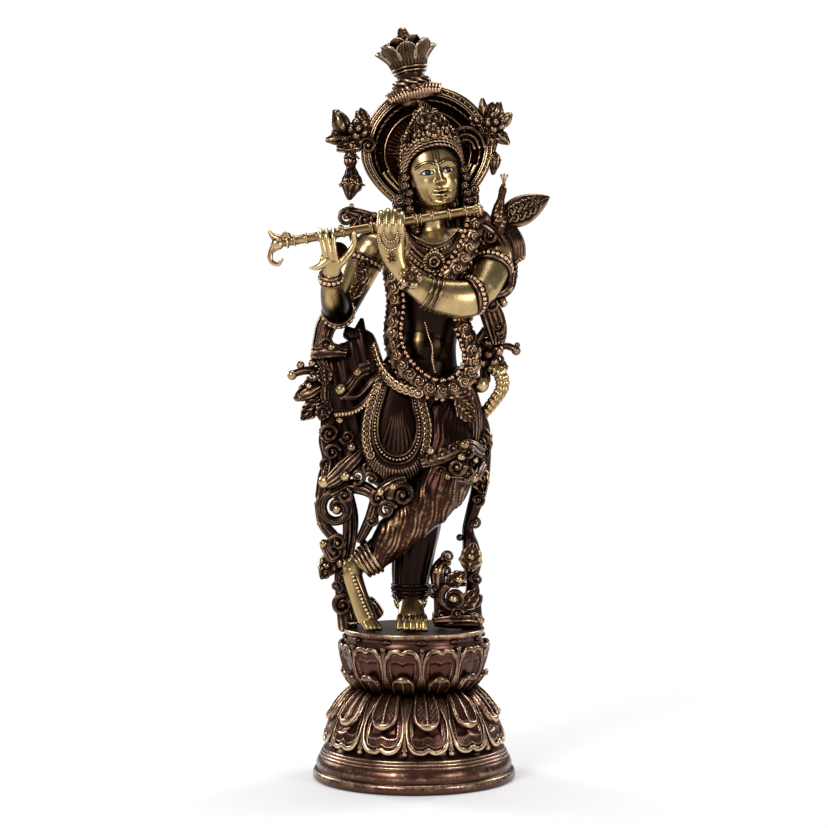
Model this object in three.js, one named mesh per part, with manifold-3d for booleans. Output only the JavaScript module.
// A cast brass figure of a flute player, standing cross-legged on a round double-lotus pedestal.
// Millimetres, +Z up, seen from the front along +Y. The origin is the middle of the pedestal's underside.
// The figure is free carving, so its pose and proportions are hundredths of its own height,
// measured from the middle of the pedestal's top. Its right is at -X.
import * as THREE from "three";
import { mergeVertices } from "three/addons/utils/BufferGeometryUtils.js";
import Module from "manifold-3d";

const wasm = await Module();
wasm.setup();

// Driving sizes, in millimetres
const FIGURE_HEIGHT = 720; // from the pedestal's top to the tip of the crown bud
const CASTING_GAP = 0.3; // between pieces that are cast apart
const ORNAMENT_DETAIL = 4; // ornament on the figure that is smaller than this is left flat
const LOTUS_DETAIL = 1.4; // and on the pedestal
const FACE_DETAIL = 0.1; // and on the face
const SMALLEST_BEAD = 1.2; // radius of the metal that fills a pinch
const FLUTE_RADIUS = 5.4;
const FLUTE_BEAD = 1.3; // how far a turned bead stands out of the flute

const PLINTH_RADIUS = 121;
const PLINTH_HEIGHT = 37;
const PLINTH_LIP = 12;
const LOWER_LOTUS_RADIUS = 103;
const LOWER_LOTUS_HEIGHT = 68;
const WAIST_RADIUS = 57;
const UPPER_LOTUS_RADIUS = 85;
const UPPER_LOTUS_HEIGHT = 64;
const DECK_RADIUS = 84;
const DECK_THICKNESS = 9;
const PETAL_COUNT = 12;
const PETAL_THICKNESS = 6;
const TONGUE_THICKNESS = 10;
const LOWER_TURN = THREE.MathUtils.degToRad(9); // from the front to the nearest big petal
const UPPER_TURN = THREE.MathUtils.degToRad(-9);

const WAIST_Z = PLINTH_HEIGHT + LOWER_LOTUS_HEIGHT;
const DECK_Z = WAIST_Z + UPPER_LOTUS_HEIGHT;
const PEDESTAL_HEIGHT = DECK_Z + DECK_THICKNESS;
const HUNDREDTH = FIGURE_HEIGHT / 100;

const FRONT = new THREE.Vector3(0, -1, 0);
const UP = new THREE.Vector3(0, 0, 1);
const RIGHT = new THREE.Vector3(1, 0, 0);

const vec = ([x, y, z]) => new THREE.Vector3(x, y, z);

// A closed geometry as a solid that can be joined and cut.
function solid(geometry) {
  const bare = geometry.clone();
  bare.deleteAttribute("normal");
  bare.deleteAttribute("uv");
  const merged = mergeVertices(bare, 1e-4);
  return new wasm.Manifold(
    new wasm.Mesh({
      numProp: 3,
      vertProperties: merged.attributes.position.array,
      triVerts: new Uint32Array(merged.index.array),
    }),
  );
}

const join = (solids) => wasm.Manifold.union(solids);

// The edges where more than two faces meet, because a surface only just touches itself there.
function pinches(made) {
  const { vertProperties, triVerts, numVert } = made.getMesh();
  const skin = new THREE.BufferGeometry();
  skin.setAttribute("position", new THREE.BufferAttribute(vertProperties, 3));
  skin.setIndex(new THREE.BufferAttribute(triVerts, 1));
  const merged = mergeVertices(skin, 1e-3);
  const corners = merged.index.array;
  const corner = (i) => new THREE.Vector3().fromBufferAttribute(merged.attributes.position, corners[i]);
  const seen = new Set();
  const found = [];
  for (let i = 0; i < corners.length; i++) {
    const next = i % 3 === 2 ? i - 2 : i + 1;
    const edge = corners[i] * numVert + corners[next];
    if (seen.has(edge)) found.push([corner(i), corner(next)]);
    seen.add(edge);
  }
  return found;
}

// Leaves out carving up to a size, and fills what that pinches with a small bead of metal.
function coarsened(made, size) {
  const coarse = made.asOriginal().simplify(size);
  const beads = pinches(coarse).map(([from, to]) => {
    const reach = from.distanceTo(to) / 2 + SMALLEST_BEAD;
    return ball(from.lerp(to, 0.5).toArray(), [reach, reach, reach]);
  });
  return join([coarse, ...beads]);
}

// Moves each vertex of a geometry by a function of its old place.
function reshape(geometry, place) {
  const position = geometry.attributes.position;
  const old = new THREE.Vector3();
  for (let i = 0; i < position.count; i++) {
    const moved = place(old.fromBufferAttribute(position, i));
    position.setXYZ(i, moved.x, moved.y, moved.z);
  }
  return geometry;
}

// The smooth line through some stations, and the half width and half depth along it.
function spine(stations, closed) {
  const line = new THREE.CatmullRomCurve3(stations.map(vec), closed, "catmullrom", 0.5);
  const sizes = stations.map((s) => new THREE.Vector3(s[3], s[4] ?? s[3], 0));
  return [line, new THREE.CatmullRomCurve3(sizes, closed, "catmullrom", 0.5)];
}

// A round-ended limb: a cylinder's rings laid along a smooth line.
// Each station is [x, y, z, half width, half depth]; the depth lies towards facing.
// Its ends bulge by a share of its girth.
function limb(
  stations,
  { sides = 5, rings = stations.length - 1, facing = FRONT, pleats = 0, depth = 0, bulge = 0.4 } = {},
) {
  const [line, girth] = spine(stations, false);
  const endShare = 1 - 0.85 * bulge;
  return solid(
    reshape(new THREE.CylinderGeometry(1, 1, 1, sides, rings), (p) => {
      const t = THREE.MathUtils.clamp(0.5 - p.y, 0, 1);
      const centre = line.getPoint(t);
      const along = line.getTangent(t);
      const across = new THREE.Vector3().crossVectors(facing, along).normalize();
      const outward = new THREE.Vector3().crossVectors(along, across);
      const size = girth.getPoint(t);
      const isEnd = t < 1e-6 || t > 1 - 1e-6;
      if (Math.hypot(p.x, p.z) < 0.5) {
        return centre.addScaledVector(along, (t < 0.5 ? -1 : 1) * bulge * Math.min(size.x, size.y));
      }
      const share = (isEnd ? endShare : 1) * (1 + depth * Math.cos(pleats * Math.atan2(p.x, p.z)));
      size.multiplyScalar(share);
      return centre.addScaledVector(across, p.x * size.x).addScaledVector(outward, p.z * size.y);
    }),
  );
}

// A ring that closes on itself, such as a long garland.
function hoop(stations) {
  const [line, girth] = spine(stations, true);
  const MIDDLE = 2;
  const SIDES = 5;
  return solid(
    reshape(new THREE.TorusGeometry(MIDDLE, 1, SIDES, 2 * stations.length), (p) => {
      const t = THREE.MathUtils.euclideanModulo(Math.atan2(p.y, p.x) / (2 * Math.PI), 1);
      const along = line.getTangent(t);
      const across = new THREE.Vector3().crossVectors(along, FRONT).normalize();
      const outward = new THREE.Vector3().crossVectors(across, along);
      const size = girth.getPoint(t);
      const reach = Math.hypot(p.x, p.y) - MIDDLE;
      return line.getPoint(t).addScaledVector(across, reach * size.x).addScaledVector(outward, p.z * size.y);
    }),
  );
}

// A bangle about a limb: its centre, the limb's half width, its own half thickness, and the limb's direction.
function bangle([x, y, z], radius, thick, direction, sides = 3, rings = 8) {
  const turn = new THREE.Quaternion().setFromUnitVectors(UP, vec(direction).normalize());
  return solid(new THREE.TorusGeometry(radius, thick, sides, rings).applyQuaternion(turn).translate(x, y, z));
}

const SLIM = { sides: 4 }; // for fingers, stems and other slim forms

const ball = ([x, y, z], [a, b, c], wide = 5, high = 4) =>
  solid(new THREE.SphereGeometry(1, wide, high).rotateX(Math.PI / 2).scale(a, b, c).translate(x, y, z));

// A tendril that winds inwards from its rim to its eye.
function scroll([x, y, z], radius, thick, { turns = 1.2, start = 0, hand = 1, sides = 4 } = {}) {
  const steps = Math.ceil(turns * 5);
  const stations = [];
  for (let i = 0; i <= steps; i++) {
    const share = i / steps;
    const angle = THREE.MathUtils.degToRad(start) + hand * turns * 2 * Math.PI * share;
    const reach = radius * (1 - 0.72 * share);
    stations.push([
      x + Math.cos(angle) * reach,
      y,
      z + Math.sin(angle) * reach,
      thick * (1 - 0.4 * share),
      thick * (1.3 - 0.3 * share),
    ]);
  }
  return limb(stations, { sides, rings: steps });
}

// A blossom of round petals about a middle, turned to the front.
function blossom([x, y, z], radius, petals = 5) {
  const LOBE = 0.16;
  const form = new THREE.SphereGeometry(radius, 2 * petals, 4).rotateX(Math.PI / 2);
  return solid(
    reshape(form, (p) => {
      const lobe = 1 + LOBE * Math.cos(petals * Math.atan2(p.x, p.y));
      return new THREE.Vector3(x + p.x * lobe, y + 0.55 * p.z, z - p.y * lobe);
    }),
  );
}

// The pedestal, in millimetres
const turned = (points, sides) =>
  solid(new THREE.LatheGeometry(points.map(([r, z]) => new THREE.Vector2(r, z)), sides).rotateX(Math.PI / 2));

const slope = (points) => new THREE.SplineCurve(points.map(([r, z]) => new THREE.Vector2(r, z)));
const lowerSlope = slope([
  [WAIST_RADIUS + 5, WAIST_Z - 1],
  [WAIST_RADIUS + 20, WAIST_Z - 9],
  [LOWER_LOTUS_RADIUS - 11, WAIST_Z - 28],
  [LOWER_LOTUS_RADIUS - 3, WAIST_Z - 48],
  [LOWER_LOTUS_RADIUS, PLINTH_HEIGHT + 5],
]);
const upperSlope = slope([
  [WAIST_RADIUS + 2, WAIST_Z + 4],
  [UPPER_LOTUS_RADIUS - 10, WAIST_Z + 17],
  [UPPER_LOTUS_RADIUS - 2, WAIST_Z + 36],
  [UPPER_LOTUS_RADIUS, DECK_Z - 6],
]);

function pedestalCore() {
  const SIDES = 32;
  const band = PLINTH_RADIUS - 7;
  const along = (curve) => curve.getPoints(3).map((p) => [p.x, p.y]);
  return turned(
    [
      [0, 0],
      [PLINTH_RADIUS - 3, 0],
      [PLINTH_RADIUS, PLINTH_LIP / 3],
      [PLINTH_RADIUS, (2 * PLINTH_LIP) / 3],
      [band, PLINTH_LIP],
      [band, PLINTH_HEIGHT - 10],
      [LOWER_LOTUS_RADIUS + 6, PLINTH_HEIGHT - 7],
      [LOWER_LOTUS_RADIUS + 5, PLINTH_HEIGHT],
      ...along(lowerSlope).reverse(),
      [WAIST_RADIUS, WAIST_Z + 1],
      ...along(upperSlope),
      [DECK_RADIUS - 5, DECK_Z],
      [DECK_RADIUS, DECK_Z + DECK_THICKNESS / 2],
      [DECK_RADIUS - 1, PEDESTAL_HEIGHT],
      [0, PEDESTAL_HEIGHT],
    ],
    SIDES,
  );
}

// A lotus petal that lies on a slope: a slab bent round the pedestal, dished between raised edges.
function petal(angle, { curve, halfTurn, from, to, thick, columns, rows, dish }) {
  const SUNK = 3;
  const SHOULDER = 0.55;
  const FOOT_SHARE = 0.62;
  const TIP_CUT = 0.86;
  return solid(
    reshape(new THREE.BoxGeometry(2, 1, 1, columns, rows, 1), (p) => {
      const v = p.y + 0.5;
      const at = curve.getPoint(THREE.MathUtils.lerp(from, to, v));
      const way = curve.getTangent(THREE.MathUtils.lerp(from, to, v));
      const roundness =
        v > SHOULDER
          ? Math.sqrt(1 - TIP_CUT * ((v - SHOULDER) / (1 - SHOULDER)) ** 2)
          : THREE.MathUtils.lerp(FOOT_SHARE, 1, v / SHOULDER);
      const rise = thick * (1 - dish * (1 - Math.abs(p.x)) * v) * (0.55 + 0.45 * v);
      const lift = p.z > 0 ? rise : -SUNK;
      const hand = way.y > 0 ? 1 : -1;
      const radius = at.x + hand * way.y * lift;
      const turn = angle + hand * p.x * halfTurn * roundness;
      return new THREE.Vector3(radius * Math.sin(turn), -radius * Math.cos(turn), at.y - hand * way.x * lift);
    }),
  );
}

function pedestal() {
  const pitch = (2 * Math.PI) / PETAL_COUNT;
  const dished = { thick: PETAL_THICKNESS, columns: 2, rows: 3, dish: 0.7 };
  const narrow = { thick: TONGUE_THICKNESS, columns: 1, rows: 2, dish: 0.1 };
  const big = { ...dished, halfTurn: 0.44 * pitch, from: 0.1, to: 0.97 };
  const tongue = { ...narrow, halfTurn: 0.22 * pitch, from: 0.06 };
  const kinds = [
    { ...big, curve: lowerSlope, first: LOWER_TURN },
    { ...tongue, curve: lowerSlope, to: 0.6, first: LOWER_TURN },
    { ...big, curve: upperSlope, first: UPPER_TURN },
    { ...tongue, curve: upperSlope, to: 0.52, first: UPPER_TURN },
  ];
  const parts = [pedestalCore()];
  for (const kind of kinds) {
    for (let i = 0; i < PETAL_COUNT; i++) parts.push(petal(kind.first + i * pitch, kind));
  }
  return coarsened(join(parts), LOTUS_DETAIL);
}

// The flute, from its open-jawed beast head to its mouth end
const FLUTE_FROM = [-22, -9.5, 63.1];
const FLUTE_TO = [11, -8, 68.9];

function fluteBarrel(extra) {
  const axis = vec(FLUTE_TO).sub(vec(FLUTE_FROM));
  const length = axis.length();
  const radius = (FLUTE_RADIUS + extra) / HUNDREDTH;
  const bead = FLUTE_BEAD / HUNDREDTH;
  const BEADS = [0.08, 0.18, 0.28, 0.46, 0.6, 0.68, 0.76, 0.92];
  const BEAD_HALF = 0.011;
  const profile = [[0, 0], [1.35 * radius, 0], [0.95 * radius, 0.04 * length]];
  for (const share of BEADS) {
    profile.push([radius, (share - BEAD_HALF) * length]);
    profile.push([radius + bead, share * length]);
    profile.push([radius, (share + BEAD_HALF) * length]);
  }
  profile.push([0.8 * radius, length], [0, length]);
  const SIDES = 6;
  const turn = new THREE.Quaternion().setFromUnitVectors(UP, axis.normalize());
  const lathe = new THREE.LatheGeometry(profile.map(([r, z]) => new THREE.Vector2(r, z)), SIDES);
  return solid(lathe.rotateX(Math.PI / 2).applyQuaternion(turn).translate(...FLUTE_FROM));
}

const flute = () =>
  join([
    fluteBarrel(0),
    ball([-22.1, -9.5, 63], [1.2, 1, 1.1]),
    limb([[-21.9, -9.5, 63.3, 0.9], [-22.9, -9.5, 64.2, 0.55], [-23.6, -9.5, 65.3, 0.2]], SLIM),
    limb(
      [[-22, -9.5, 62.8, 0.8], [-23.2, -9.5, 61.8, 0.5], [-23.2, -9.5, 60.2, 0.4],
      [-21.9, -9.5, 59.6, 0.35],
        [-21.1, -9.5, 60.7, 0.22]],
      SLIM,
    ),
  ]);

// The head leans to its right and looks a little to its left.
const HEAD = new THREE.Matrix4()
  .makeTranslation(3, -1, 75)
  .multiply(new THREE.Matrix4().makeRotationY(THREE.MathUtils.degToRad(-10)))
  .multiply(new THREE.Matrix4().makeRotationZ(THREE.MathUtils.degToRad(13)));
const onHead = (stations) =>
  stations.map(([x, y, z, ...size]) => [...new THREE.Vector3(x, y, z).applyMatrix4(HEAD).toArray(), ...size]);

function head() {
  const parts = [
    limb(
      onHead([[0, -3, -6.1, 1.5, 1.4], [0, -2, -4.6, 2.9, 2.9], [0, -1.1, -2, 4, 4.2],
        [0, -0.6, 1, 4.4, 4.8],
        [0, -0.2, 4, 4.2, 4.6], [0, 0.2, 7, 2.6, 3]]),
      { sides: 10, rings: 7 },
    ),
    limb(onHead([[0, -4.7, 0.8, 0.4], [0, -5.7, -1.4, 0.7, 0.6], [0, -5.3, -2, 0.9, 0.4]]), SLIM),
    limb(onHead([[-1.1, -4.2, -3.5, 0.4], [0, -4.7, -3.6, 0.5, 0.6],
      [1.1, -4.2, -3.5, 0.4]]), { ...SLIM, facing: UP }),
    limb([[3.2, 0.4, 64, 2.6], [3.2, 0, 67, 2.2], [3.4, -0.2, 70, 2.4]], { sides: 7, rings: 2 }),
  ];
  for (const side of [-1, 1]) {
    parts.push(ball(onHead([[side * 1.75, -4.4, 0.2]])[0], [1, 0.5, 0.6]));
    parts.push(
      limb(onHead([[side * 4.8, -0.4, 0.4, 0.9], [side * 5.3, -0.6, -2.4, 1.3],
        [side * 5.6, -0.6, -4.4, 1.3],
        [side * 5.2, -0.4, -6.6, 0.9], [side * 4.8, -0.4, -8.6, 1.1]])),
    );
  }
  return join(parts);
}

function crown() {
  const BAND = 0.9;
  const parts = [
    limb(
      onHead([[-4.9, -0.6, -1.4, BAND], [-4.6, -2.6, 1.6, BAND], [-2.9, -4.3, 3.9, BAND],
        [0, -4.9, 4.8, BAND],
        [2.9, -4.3, 3.9, BAND], [4.6, -2.6, 1.6, BAND], [4.9, -0.6, -1.4, BAND]]),
      { facing: UP },
    ),
    limb(onHead([[0, 0, 3.4, 4.9], [0, 0.3, 7, 4.4], [0, 0.8, 9.6, 3], [0, 1.2, 12, 1.4]]), { sides: 8 }),
    limb(onHead([[0, -4.4, 5, 2, 0.9], [0, -4.5, 7.4, 2.2, 0.9], [0, -3.8, 9.6, 1.3, 0.7],
      [0, -3, 11.4, 0.4]])),
    blossom(onHead([[0, -5.2, 6.4]])[0], 1.5),
  ];
  for (const side of [-1, 1]) {
    for (const x of [2.1, 4]) {
      const bow = 0.13 * x * x;
      parts.push(blossom(onHead([[side * x, bow - 4.8, 6.1 - bow]])[0], 1.25));
    }
    parts.push(limb(onHead([[side * 3, -2, 4.6, 1.3], [side * 3.2, -1.6, 7, 1.2],
      [side * 2.2, -1.4, 9, 0.6]])));
  }
  return join(parts);
}

// The dished halo behind the head: full and round above, and drawn in towards the shoulders.
function halo() {
  const DISH = [[0, 4], [5, 3.6], [8.8, 2.3], [10.7, 0.7], [10.9, -0.5], [9.7, -0.7], [8.4, 1], [5, 2.3],
    [0, 2.7]];
  const DRAWN_IN = 0.24;
  const lean = new THREE.Matrix4().makeTranslation(2.3, 0.8, 79.2);
  lean.multiply(new THREE.Matrix4().makeRotationY(THREE.MathUtils.degToRad(-5)));
  // The profile turns about +Y, so the dish opens to the front.
  const dish = new THREE.LatheGeometry(DISH.map(([r, y]) => new THREE.Vector2(r, -y)), 24).rotateX(Math.PI);
  return solid(
    reshape(dish, (p) => {
      const low = THREE.MathUtils.clamp(-p.z / 10, 0, 1);
      return new THREE.Vector3(p.x * (1 - DRAWN_IN * low ** 1.5), p.y, p.z).applyMatrix4(lean);
    }),
  );
}

// The stem, lotus cup and bud that stand on the halo and reach the figure's full height
function crownBud() {
  const BUD_TIP = 100;
  const cupRibs = { sides: 16, rings: 3, pleats: 8, depth: 0.1, bulge: 0 };
  return join([
    limb([[-0.4, 2, 88, 2.6], [-0.5, 2, 90.6, 2.3], [-0.6, 2, 92, 2.4]], { sides: 8, rings: 3 }),
    bangle([-0.5, 2, 90.7], 2.7, 0.85, [-0.05, 0, 1], 5, 12),
    limb([[-0.6, 2, 91.8, 2.1], [-0.9, 2, 93.2, 3.2], [-1.2, 2, 95.2, 4.1], [-1.4, 2, 97, 4.7]], cupRibs),
    limb([[-1.5, 2, 96.6, 2.4], [-1.7, 2, 98.2, 1.7], [-1.8, 2, BUD_TIP, 0.4]],
      { sides: 8, rings: 3, bulge: 0 }),
  ]);
}

// Flowers at either side of the halo, each with a tassel that hangs from it
function haloFlowers() {
  const parts = [
    blossom([-8.4, 1, 82.4], 2.2),
    blossom([-11, 0.6, 84.2], 2),
    ball([-12.6, 0.4, 82.3], [1.3, 1.2, 1.2]),
    ball([-13.1, 0.2, 84.8], [0.9, 0.9, 1.1]),
    blossom([10.6, 1.4, 84.6], 2.2),
    blossom([13.2, 1, 84], 1.9),
    limb([[13, 1, 84, 1.1], [14.6, 0.6, 86, 0.9], [14.4, 0.4, 87.8, 0.5]], SLIM),
    ball([15, 0.6, 84.4], [0.9, 0.9, 0.9]),
    limb([[-10.2, 0.6, 82.2, 1.2], [-10.6, 0.4, 79, 1.7], [-10.5, 0.4, 76.2, 1.2], [-10.2, 0.4, 74.4, 1.6],
      [-10.8, 0.4, 72, 1]]),
    limb([[-8.2, 1.2, 79.6, 1.2], [-10.2, 0.6, 79, 1]], SLIM),
    limb([[13.6, 1, 83, 1.2], [13.2, 0.8, 80, 1.6], [13.4, 0.8, 77.4, 1.2], [13.2, 0.8, 75.4, 0.6]]),
  ];
  return join(parts);
}

function torso() {
  const neckline = [3.3, 0, 65];
  return join([
    limb(
      [[-0.4, 1.4, 33, 7.2, 5], [0.2, 1.2, 37.5, 8.4, 5.4], [1, 0.7, 42, 6.9, 4.7], [2.1, 0.3, 47.6, 5, 4],
        [2.7, 0, 53, 6, 4.5], [3.2, 0, 59, 7.5, 4.9], [3.3, 0.4, 63.4, 6.4, 4], [3.3, 0.5, 66, 3, 2.6]],
      { sides: 10, rings: 10 },
    ),
    limb([[-7, 1, 63.6, 2.7, 2.6], [-1, 0.7, 64.6, 2.4], [7, 0.7, 64.8, 2.4], [13.8, 1, 63.8, 2.8, 2.6]],
      { sides: 6 }),
    bangle(neckline, 4.6, 0.8, [0, -0.45, 1], 4, 12),
    limb([[-2.6, -3.4, 62.6, 1, 1], [0.2, -5.2, 59.6, 1.7, 1], [3.8, -5.9, 57.6, 1.9, 1],
      [7, -5.2, 59.4, 1.7, 1],
      [9.6, -3, 63, 1, 1]]),
    ball([3.3, -5.8, 60.2], [1.5, 0.9, 1.7]),
  ]);
}

function legs() {
  const folds = { sides: 12, rings: 9, pleats: 6, depth: 0.05 };
  const parts = [
    limb(
      [[-2.3, 0.6, 35, 5.4], [-1, -0.6, 26, 4.7], [0.5, -1.2, 18, 4], [-0.3, -1, 11, 3.3],
      [-0.6, -1.2, 6, 2.9],
        [-0.6, -1.6, 2.6, 2.3]],
      { sides: 8 },
    ),
    limb(
      [[4.6, 0.4, 36, 5.4], [5.9, -2.6, 28.8, 5.4], [5.4, -5.4, 23.4, 5], [1.6, -6.2, 19.4, 4.3],
        [-2.3, -6.1, 15.9, 3.9], [-5.6, -5.8, 12.9, 3.2], [-8.2, -5.4, 11, 2.5]],
      folds,
    ),
    bangle([-7.4, -5.5, 11.6], 2.6, 0.55, [-0.8, 0, -0.5]),
    bangle([-8.6, -5.4, 10.6], 2.3, 0.5, [-0.8, 0, -0.5]),
    limb(
      [[-9.2, -5.1, 11.4, 1.6], [-10, -5, 9.8, 2, 1.7], [-9.6, -5.1, 6.8, 2.2, 1.5],
      [-8.8, -5.8, 3.6, 2.4, 1.5],
        [-7.6, -6.5, 2, 2.3, 1.7]],
      { sides: 7 },
    ),
    limb([[-0.7, -0.6, 3.2, 2.3, 2.5], [-0.5, -3, 2.5, 2.7, 1.9], [-0.3, -5.2, 1.3, 2.9, 1.4],
      [-0.3, -6.6, 0.9, 2.9, 1]], {
      sides: 8,
      facing: UP,
      bulge: 0.1,
    }),
    bangle([-0.6, -1.9, 4.1], 2.7, 0.6, [0, 0.3, 1]),
  ];
  const TOES = 5;
  for (let i = 0; i < TOES; i++) {
    const across = i / (TOES - 1) - 0.5;
    const size = 0.78 - 0.2 * (0.5 - across);
    const root = [-0.3 + 4.2 * across, -5.4, 1.1, size];
    const tip = [-0.2 + 4.7 * across, -7.7 + 0.9 * (0.5 - across), 0.7, 0.85 * size];
    parts.push(limb([root, tip], { sides: 4, rings: 1, facing: UP }));
  }
  for (let i = 0; i < 4; i++) {
    const root = [-8.6 + 0.5 * i, -6.8 + 0.8 * i, 2, 0.85];
    parts.push(limb([root, [-5.9 + 0.3 * i, -7.3 + 0.8 * i, 0.9, 0.65]], SLIM));
  }
  return join(parts);
}

function rightArm() {
  const elbow = [-12.6, 1.2, 51.8];
  const parts = [
    limb([[-6.6, 1, 64.4, 3], [-8.5, 1.3, 60.7, 3.1], [-10.6, 1.5, 56.1, 2.7], [...elbow, 2.4]],
      { sides: 8 }),
    limb([[...elbow, 2.2], [-13, -3, 53.6, 2.2], [-13.5, -6.6, 56, 1.7], [-13.6, -8.8, 58.2, 1.4, 1.2]], {
      sides: 7,
      facing: RIGHT,
    }),
    limb([[-13.5, -9, 58, 1.4, 1], [-13, -9.6, 60, 1.9, 0.9], [-13.2, -10.4, 61.6, 1.7, 0.8]],
      { sides: 6 }),
    bangle([-13.5, -8, 57.3], 1.8, 0.55, [0, -0.6, 0.8]),
    bangle([-8.2, 1.3, 61.2], 3.1, 0.6, [-0.4, 0, -1]),
    bangle([-8.7, 1.3, 60], 3.1, 0.6, [-0.4, 0, -1]),
    ball([-12.3, -0.9, 52], [1.5, 1.5, 1.5]),
  ];
  // The little finger points away, and the others rest on the flute.
  const FINGERS = [
    [[-14, -9.6, 60.2, 0.6], [-15.8, -9.4, 59.8, 0.5], [-16.9, -9.2, 60.6, 0.4]],
    [[-14.4, -10.2, 61.2, 0.6], [-14.9, -11.3, 63.4, 0.55], [-14.7, -11, 65.4, 0.5]],
    [[-13.2, -10.4, 61.4, 0.6], [-13.4, -11.4, 63.8, 0.55], [-13.2, -11, 65.8, 0.5]],
    [[-12, -10.2, 61, 0.6], [-11.8, -11.3, 63.6, 0.55], [-11.6, -11, 65.6, 0.5]],
    [[-11.8, -9.6, 60.2, 0.65], [-10.6, -8.6, 62, 0.6], [-10, -8, 64, 0.5]],
  ];
  for (const finger of FINGERS) parts.push(limb(finger, { ...SLIM, facing: RIGHT }));
  return join(parts);
}

function leftArm() {
  const elbow = [11, -5.6, 55.6];
  const parts = [
    limb([[13.6, 1, 64.4, 3], [13.4, -1, 61.5, 3.2], [12.3, -3.5, 58.2, 3], [...elbow, 2.6]], { sides: 7 }),
    limb(
      [[...elbow, 2.5, 2.5], [8.4, -7.6, 54.2, 2.4, 3.1], [4.4, -9, 54.4, 2.2, 2.9],
      [0.8, -9.8, 56.1, 1.7, 2.1],
        [-2, -10.3, 58.4, 1.3, 1.5]],
      { sides: 8, rings: 6, facing: UP },
    ),
    limb([[-2, -10.3, 58.2, 1.4, 1], [-3.2, -11, 60.6, 2, 0.9], [-3.7, -11.3, 63.2, 2.1, 0.9]],
      { sides: 6 }),
    bangle([-0.9, -10.2, 57.5], 2, 0.6, [-1, -0.2, 0.6]),
    bangle([2.8, -9.3, 55], 2.8, 0.4, [-1, -0.2, 0.4]),
    bangle([9.8, -6.6, 55], 3, 0.5, [-0.8, -0.5, -0.4]),
    bangle([12.9, -2.2, 60], 3.3, 0.7, [-0.4, -0.9, -1.2]),
    blossom([-0.6, -12, 57.6], 1.6),
  ];
  const HALF_HAND = 1.5;
  for (let i = 0; i < 4; i++) {
    const x = -3.9 + HALF_HAND * (i / 1.5 - 1);
    const rise = 0.8 * (1 - ((i - 1.4) / 2) ** 2);
    parts.push(
      limb(
        [[x, -11.2, 62.6, 0.58], [x - 0.1, -11.7, 65.4, 0.55], [x - 0.1, -11.1, 67.6 + rise, 0.5],
        [x, -10, 68 + rise, 0.4]],
        SLIM,
      ),
    );
  }
  parts.push(limb([[-1.9, -10.6, 61, 0.8], [-1, -9.6, 62.8, 0.7], [-1.4, -8.6, 64.8, 0.55]], SLIM));
  return join(parts);
}

// The long garland, the one across the chest, and the beaded rope on the hip
function garlands() {
  const long = [
    [10.6, -2.4, 68], [12, -0.6, 64.5], [9.3, -2.6, 54.2], [7.6, -3.4, 51.1], [8.9, -4.6, 47.4],
    [9.5, -5.4, 44.1],
    [7.8, -6, 40.8], [4.2, -6.4, 39.5], [1, -6.4, 40.7], [-2, -5.8, 43.8], [-3.3, -4.6, 48.2],
    [-2.8, -4.2, 54],
    [-3.6, -4.6, 60.2], [-2.6, -3.4, 65.2], [0, 3, 68.6], [6.5, 3.4, 69.4],
  ];
  return join([
    hoop(long.map((p) => [...p, 1.35, 1.15])),
    limb([[10.2, -3.5, 68.2, 1.1], [9.2, -4.9, 63.8, 1.3], [7.5, -5.6, 60.1, 1.4], [5.2, -6, 56.8, 1.2]]),
    limb([[-6.4, -2, 46.5, 1], [-5.2, -4.6, 42.8, 1.1], [-2.6, -6, 39.9, 1.1], [0.7, -6.4, 38.4, 1]]),
  ]);
}

// The looped sash with its fan of pleats that hangs from the waist in front
function apron() {
  const outer = [
    [-4.6, -5, 43], [-6.4, -6, 37.2], [-7.6, -6.4, 33.2], [-7.4, -6.6, 29.6], [-5.2, -6.8, 26.6],
    [-2.6, -7, 25.6],
    [0.2, -6.8, 26.6], [2, -6.6, 29.6], [2.2, -6.4, 33.2], [1.4, -6, 36.7], [0.8, -5.4, 40],
  ];
  return join([
    limb(outer.map((p) => [...p, 1.5, 0.9]), { sides: 6, rings: 14 }),
    limb([[-2.4, -4.6, 38, 2.6, 1.4], [-2.6, -5.4, 32, 3.6, 1.5], [-2.7, -5.6, 27.4, 4.2, 1.3]], {
      sides: 16,
      pleats: 8,
      depth: 0.16,
    }),
    limb([[-2, -2.2, 30, 6.4, 4], [-1.8, -2.6, 26.4, 5.8, 3.4], [-1.4, -3, 24.4, 4.6, 2.6]], { sides: 10 }),
  ]);
}

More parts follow.
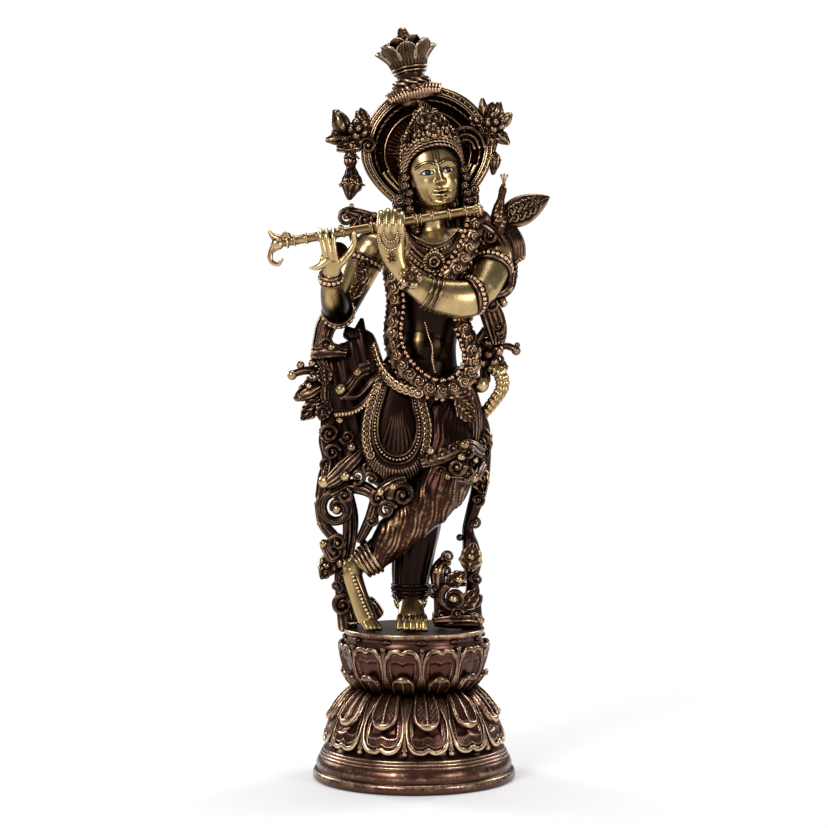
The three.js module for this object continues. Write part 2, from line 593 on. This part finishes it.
// The scarves that swell out from the hips to the side vines
function hipScarves() {
  const parts = [
    limb([[-11.6, 1, 49, 1, 1.2], [-8.7, 0.6, 48, 1.6, 1.4], [-7.4, 0.4, 44, 4.4, 1.6],
      [-9.4, 0, 39.6, 5.2, 1.5],
      [-9.8, -0.4, 34.4, 4.8, 1.4], [-9.6, -0.6, 29.6, 3.8, 1.4], [-9.4, -0.6, 26.6, 2.4, 1.2]],
      { sides: 8, rings: 8 }),
    limb([[-9, 0.4, 49.6, 1.2], [-8.6, 0.4, 51, 0.4]]),
    limb([[-5.6, -4.6, 41.4, 0.8], [-7.6, -5, 38, 1], [-9.6, -4.8, 36.2, 1], [-12, -3.6, 35.2, 0.9]]),
    limb([[-9, -2.2, 42.4, 1, 1.4], [-10.6, -2.2, 40.6, 1.4, 2], [-11.8, -2.4, 39.4, 0.9, 1.4]]),
    limb([[-2, -6.4, 24.4, 1.6], [-5.4, -6.4, 22.4, 1.6], [-7, -6.2, 18.4, 1.2], [-8.9, -5.6, 14.8, 0.9]]),
    scroll([-2.2, -8.4, 22.4], 2, 0.7, { start: 200, hand: -1 }),
    scroll([-4.6, -7.6, 20], 1.5, 0.6, { start: 20 }),
    ball([-5.4, -7.6, 22.6], [0.9, 0.9, 0.9]),
    limb([[2, -5.6, 27.4, 1.4], [5, -5.9, 29, 1.8, 1.3], [8.4, -5, 30.4, 1.6, 1.2],
      [10.2, -2.6, 29.4, 1.3]]),
    limb([[4.4, -5.8, 27, 1.2], [7, -5.8, 26, 1.5, 1.2], [9.6, -3.6, 25.2, 1.2]]),
    scroll([4.9, -6.6, 29.8], 1.6, 0.6, { start: 180 }),
    scroll([7.6, -6.4, 27.2], 1.5, 0.6, { start: 0, hand: -1 }),
    limb([[6.5, -3, 42, 2.4, 1.6], [8.2, -3, 38.6, 2.6, 1.8], [9, -2, 34, 2.4, 1.8],
      [9, -1, 30.6, 1.8, 1.6]], { sides: 7 }),
  ];
  return join(parts);
}

// The scarf from the right elbow and the open vine that carries it down to the pedestal
function rightVine() {
  const parts = [
    limb([[-12.9, 1, 52.6, 2], [-14.6, 0.6, 50.4, 1.8], [-15.4, 0, 47.4, 1.6], [-15.6, -0.4, 45, 1.7]],
      { sides: 6 }),
    limb([[-16.2, -0.6, 45.8, 1.5], [-14, -0.8, 45.8, 1.6], [-11.4, -0.6, 45.7, 1.1]]),
    limb([[-15.7, 0, 44.6, 1.3], [-14.9, 0, 40, 1.4], [-14.8, -0.4, 34, 1.3], [-14.2, -1, 28.6, 1.7],
      [-14.2, -1.4, 25, 1.8], [-15.2, -1.5, 21.6, 1.3]]),
    limb([[-16, 0, 42.4, 1], [-18, 0, 42.6, 0.9], [-20.4, 0, 42.2, 0.8]]),
    ball([-20.2, 0, 42], [1, 1, 1]),
    ball([-18.9, 0, 43.4], [0.8, 0.8, 0.8]),
    limb([[-15.8, -0.4, 40, 1.2], [-17.4, -0.8, 39, 1.5], [-19.2, -1, 38.3, 1]]),
    limb([[-15.8, -0.4, 37.6, 0.9], [-17.4, -0.8, 36, 1], [-18.2, -1, 34.8, 0.7]], SLIM),
    scroll([-13.4, -2.2, 31.6], 1.5, 0.65, { start: 160, hand: -1 }),
    ball([-14.6, -2.4, 24.4], [1.5, 1.3, 1.5]),
    ball([-11.4, -3, 26], [1.2, 1.2, 1.2]),
    limb([[-14, -1.6, 25.6, 1], [-11.6, -2.4, 25.4, 1.2], [-9.6, -2, 28, 1.2]], SLIM),
    scroll([-12.6, -1.6, 20], 3.1, 0.95, { turns: 1.1, start: 100 }),
    limb([[-15.6, -1.4, 21, 1], [-15, -1.4, 17.4, 1], [-13.2, -1.4, 15, 1], [-12.2, -1.4, 12.6, 0.9],
      [-13.6, -1.4, 11.6, 0.8], [-14.8, -1.4, 13.8, 0.9]], { rings: 8 }),
    limb([[-11.4, 0.4, 22.6, 1.3], [-10.6, 0.6, 18, 1.4], [-11, 0.6, 13, 1.2], [-12.2, 0.2, 9, 1.1],
      [-11.8, -0.2, 5, 1.3], [-11, -0.4, -0.6, 1.8]], { sides: 6 }),
    limb([[-13.6, -1, 12.6, 1], [-14.8, -0.8, 10.4, 1.2, 1], [-14.4, -0.6, 8.8, 0.7]]),
    limb([[-13.6, -0.4, 8.6, 0.8], [-12, -0.8, 7.8, 1.3], [-10.4, -1, 7.9, 1]]),
    scroll([-11.8, -1.4, 3.9], 1.7, 0.7, { start: 90, turns: 1 }),
    limb([[-10.6, 1, 0.6, 1.3], [-8, 2, 3.4, 1.6], [-6.4, 2, 1, 1.8]]),
  ];
  return join(parts);
}

// The scarf ends and flowers under the left elbow, and the vine that carries them down to the pedestal
function leftVine() {
  const parts = [
    limb([[11.6, -4.6, 55, 1.8], [12.6, -3.4, 52.6, 2.4, 1.4], [13.6, -2.4, 49.6, 2.2, 1.2],
      [13.8, -1.8, 47.4, 1.7, 1.1]], {
      sides: 7,
    }),
    ball([11.9, -1.4, 49.2], [1.1, 1.1, 1.1]),
    limb([[11.8, -1.6, 49.4, 0.8], [10, -1.4, 46.6, 0.9], [10.4, -1, 43.6, 1.2]], SLIM),
    blossom([12.2, -0.6, 45.4], 2.9, 6),
    ball([14.4, -0.4, 43.2], [1.4, 1.1, 1.4]),
    limb([[13.2, -0.2, 46.2, 1], [15.4, -0.1, 46.8, 0.9], [16.6, 0, 46.4, 0.8]]),
    ball([17, 0, 46.1], [0.9, 0.9, 0.9]),
    ball([11, -2.8, 40.5], [1.4, 1.4, 1.5], 7, 5),
    limb([[11.8, -1, 43.4, 1.1], [11.8, -1.6, 41, 1.1]], SLIM),
    limb([[13, -1.6, 43.4, 0.8], [14.4, -2, 41.6, 1.1, 0.9], [14.4, -2, 39.2, 1.1, 0.9],
      [12.6, -1.6, 36.6, 1.1],
      [11.2, -0.8, 34.6, 1.2]]),
    limb([[9.2, -2, 38.4, 1.5], [9.8, -1.6, 35.6, 1.9], [10.8, -0.4, 33, 1.9], [10.8, -0.2, 29, 2, 1.6],
      [10.9, -0.6, 23.6, 1.5], [9.9, 0, 19.6, 1.2], [9, 0, 16.4, 0.9], [9.4, -0.4, 13.6, 1.3],
      [9.6, -0.6, 11, 1.6], [9.7, 0, 8, 1], [9.8, 0, 4, 1.5], [9.6, 0, -0.6, 2]]),
    blossom([10.8, -1.8, 23.4], 1.7),
    ball([7.7, -0.2, 15], [0.7, 0.7, 0.7]),
    limb([[8.8, -2, 11, 0.6], [9.8, -2.2, 13.4, 0.6]], SLIM),
    scroll([6.6, -3, 5.2], 2.4, 1, { turns: 1.1, start: 120 }),
    limb([[4.4, -2.4, 1.6, 1.2], [4.2, -2.4, 5.2, 1], [4, -2.6, 9.6, 1.5], [5.2, -1.4, 11.8, 1]]),
    ball([7.2, -2.6, 7.4], [1.1, 1.1, 1.2]),
    ball([9.8, -2.4, 5], [1.6, 1.4, 1.5]),
    limb([[3.6, -3, 1.2, 1], [6.4, -3.4, 1.6, 1.5, 1.6], [9, -2.6, 1.6, 1.6], [10.8, -1.4, 1.2, 1]]),
    limb([[4, 0.6, 0.4, 1.6], [6.6, 0.8, 3.4, 1.8], [9.4, 0.4, 3.4, 1.8]]),
  ];
  return join(parts);
}

// The peacock on the left shoulder, its raised tail, and the bunches of feathers that hang below it
function peacock() {
  const parts = [
    limb([[13.6, -1, 65.4, 1.6], [14, -1.2, 67.6, 1.5], [14.1, -1.6, 69.6, 1], [14.4, -2, 71.4, 0.65],
      [14.8, -2.6, 73, 0.6]], { sides: 6 }),
    limb([[14.8, -2.6, 73, 0.55], [15, -3.4, 73.2, 0.4], [15, -4, 72.8, 0.2]], { ...SLIM, facing: UP }),
    limb([[14.9, -2.6, 73.4, 0.4], [15, -2.8, 74.6, 0.2]], SLIM),
    limb([[14.2, -0.8, 67.6, 1.1, 0.9], [16.6, -0.2, 69.4, 1.7, 0.7], [19, 0, 70.4, 1.9, 0.6],
      [21.2, 0, 70.9, 1.1, 0.5],
      [22.4, 0, 71.3, 0.3]], { sides: 6, rings: 6 }),
    limb([[14.4, -0.6, 66.6, 1.8], [16.4, -0.4, 65, 1.8, 1.2], [17, -0.2, 62.6, 1.9, 1.1],
      [17.2, -0.2, 60.8, 1.3, 1]], {
      sides: 8,
      pleats: 4,
      depth: 0.12,
    }),
    limb([[15.8, -0.8, 62, 1.4], [16, -1, 59.6, 1.5, 1.2], [15.6, -1.2, 57.2, 1.3, 1.1],
      [14.4, -2, 55.8, 1.2],
      [13, -2.8, 55.2, 1.1]]),
    ball([14.6, -2.4, 54], [1, 1, 1]),
    limb([[8.6, -4, 65.4, 1.2, 1.2], [11.4, -3.2, 66.2, 1.7, 1.4], [13.8, -1.6, 64.4, 1.9, 1.5],
      [15.4, -0.6, 61.6, 1.4]], {
      sides: 7,
    }),
  ];
  return join(parts);
}

// The hair knot and scroll on the right shoulder
function shoulderScroll() {
  return join([
    limb([[-3.6, 1, 66.6, 1.4], [-6.6, 1, 67.6, 1.4], [-9.4, 1, 68.6, 1.2], [-11.6, 0.8, 69.4, 0.9]]),
    scroll([-11.2, 0.6, 68.2], 1.5, 0.6, { start: 100, hand: 1, turns: 1 }),
    limb([[-9.2, 0.8, 68.2, 1], [-10.6, 0.8, 66, 0.8], [-9.4, 0.8, 63.4, 1]], SLIM),
  ]);
}

// Keeps the part's outer shell, without the pockets that the joined forms close in.
function largestBody(made) {
  const bodies = made.decompose();
  return bodies.reduce((best, body) => (body.volume() > best.volume() ? body : best));
}

const inMillimetres = (made) => made.scale(HUNDREDTH).translate([0, 0, PEDESTAL_HEIGHT]);

function figure() {
  const carving = join([
    torso(), legs(), rightArm(), leftArm(), crown(), halo(), crownBud(), haloFlowers(), garlands(), apron(),
    hipScarves(), rightVine(), leftVine(), peacock(), shoulderScroll(),
  ]);
  const cut = coarsened(inMillimetres(carving), ORNAMENT_DETAIL)
    .add(inMillimetres(head()))
    .subtract(inMillimetres(fluteBarrel(CASTING_GAP)))
    .trimByPlane([0, 0, 1], PEDESTAL_HEIGHT + CASTING_GAP);
  return largestBody(coarsened(cut, FACE_DETAIL));
}

function meshOf(name, made, material) {
  const { vertProperties, triVerts } = made.getMesh();
  const geometry = new THREE.BufferGeometry();
  geometry.setAttribute("position", new THREE.BufferAttribute(vertProperties, 3));
  geometry.setIndex(new THREE.BufferAttribute(triVerts, 1));
  const mesh = new THREE.Mesh(geometry, material);
  mesh.name = name;
  return mesh;
}

const darkBrass = new THREE.MeshStandardMaterial({ color: 0x4a2a1c, roughness: 0.42, metalness: 1 });
const paleBrass = new THREE.MeshStandardMaterial({ color: 0xb79a56, roughness: 0.32, metalness: 1 });
const redBrass = new THREE.MeshStandardMaterial({ color: 0x55281c, roughness: 0.38, metalness: 1 });

const statue = new THREE.Group();
statue.add(meshOf("lotus_pedestal", pedestal(), redBrass));
statue.add(meshOf("figure", figure(), darkBrass));
statue.add(meshOf("flute", inMillimetres(flute()), paleBrass));

export default statue;
